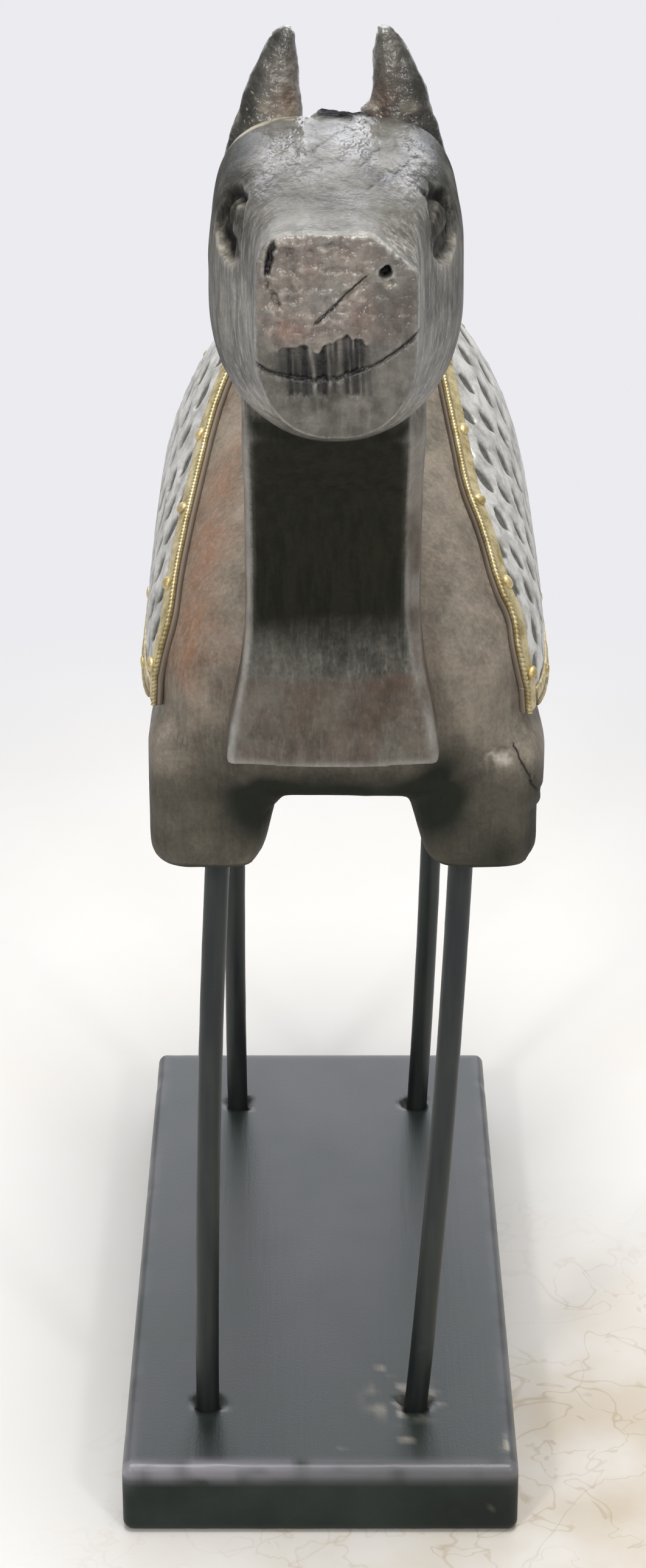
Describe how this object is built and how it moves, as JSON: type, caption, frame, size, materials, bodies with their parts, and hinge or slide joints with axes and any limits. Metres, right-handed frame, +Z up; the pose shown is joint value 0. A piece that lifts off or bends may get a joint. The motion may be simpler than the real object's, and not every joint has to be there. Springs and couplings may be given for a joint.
{
  "type": "camel figurine",
  "caption": "Carved wooden camel with embossed metal flank sheets and nailed brass edging, standing on iron rod legs over a painted wooden base board.",
  "frame": {"origin": "centre of the base board's underside", "axes": "+Z up, the camel faces -Y, +X is the camel's own left"},
  "size_m": [0.1072, 0.2953, 0.382],
  "materials": {
    "board_paint": "black painted wood, semi-gloss, worn at the edges",
    "iron": "blackened iron rod, satin",
    "torso_wood": "aged carved wood, waxed, reddish brown to grey",
    "head_wood": "aged carved wood, dark, polished by handling",
    "dowel_wood": "bare wood, hidden",
    "white_metal": "embossed white metal sheet, darkened in its recesses",
    "brass": "aged brass, rubbed bright on its raised edges"
  },
  "bodies": {
    "root": {"base_board": "board_paint", "ear_left": "head_wood", "ear_right": "head_wood", "flank_sheet_left": "white_metal", "flank_sheet_right": "white_metal", "front_strip_left": "brass", "front_strip_right": "brass", "leg_front_left": "iron", "leg_front_right": "iron", "leg_rear_left": "iron", "leg_rear_right": "iron", "lower_strip_left": "brass", "lower_strip_right": "brass", "neck_and_head": "head_wood", "neck_dowel_lower": "dowel_wood", "neck_dowel_upper": "dowel_wood", "rear_strip_left": "brass", "rear_strip_right": "brass", "ridge_strip": "brass", "tack_front_left_1": "brass", "tack_front_left_2": "brass", "tack_front_left_3": "brass", "tack_front_left_4": "brass", "tack_front_left_5": "brass", "tack_front_left_6": "brass", "tack_front_right_1": "brass", "tack_front_right_2": "brass", "tack_front_right_3": "brass", "tack_front_right_4": "brass", "tack_front_right_5": "brass", "tack_front_right_6": "brass", "tack_lower_left_1": "brass", "tack_lower_left_2": "brass", "tack_lower_left_3": "brass", "tack_lower_left_4": "brass", "tack_lower_right_1": "brass", "tack_lower_right_2": "brass", "tack_lower_right_3": "brass", "tack_lower_right_4": "brass", "tack_rear_left_1": "brass", "tack_rear_left_2": "brass", "tack_rear_left_3": "brass", "tack_rear_left_4": "brass", "tack_rear_left_5": "brass", "tack_rear_left_6": "brass", "tack_rear_right_1": "brass", "tack_rear_right_2": "brass", "tack_rear_right_3": "brass", "tack_rear_right_4": "brass", "tack_rear_right_5": "brass", "tack_rear_right_6": "brass", "tack_ridge_1": "brass", "tack_ridge_2": "brass", "torso": "torso_wood"}
  },
  "joints": []
}
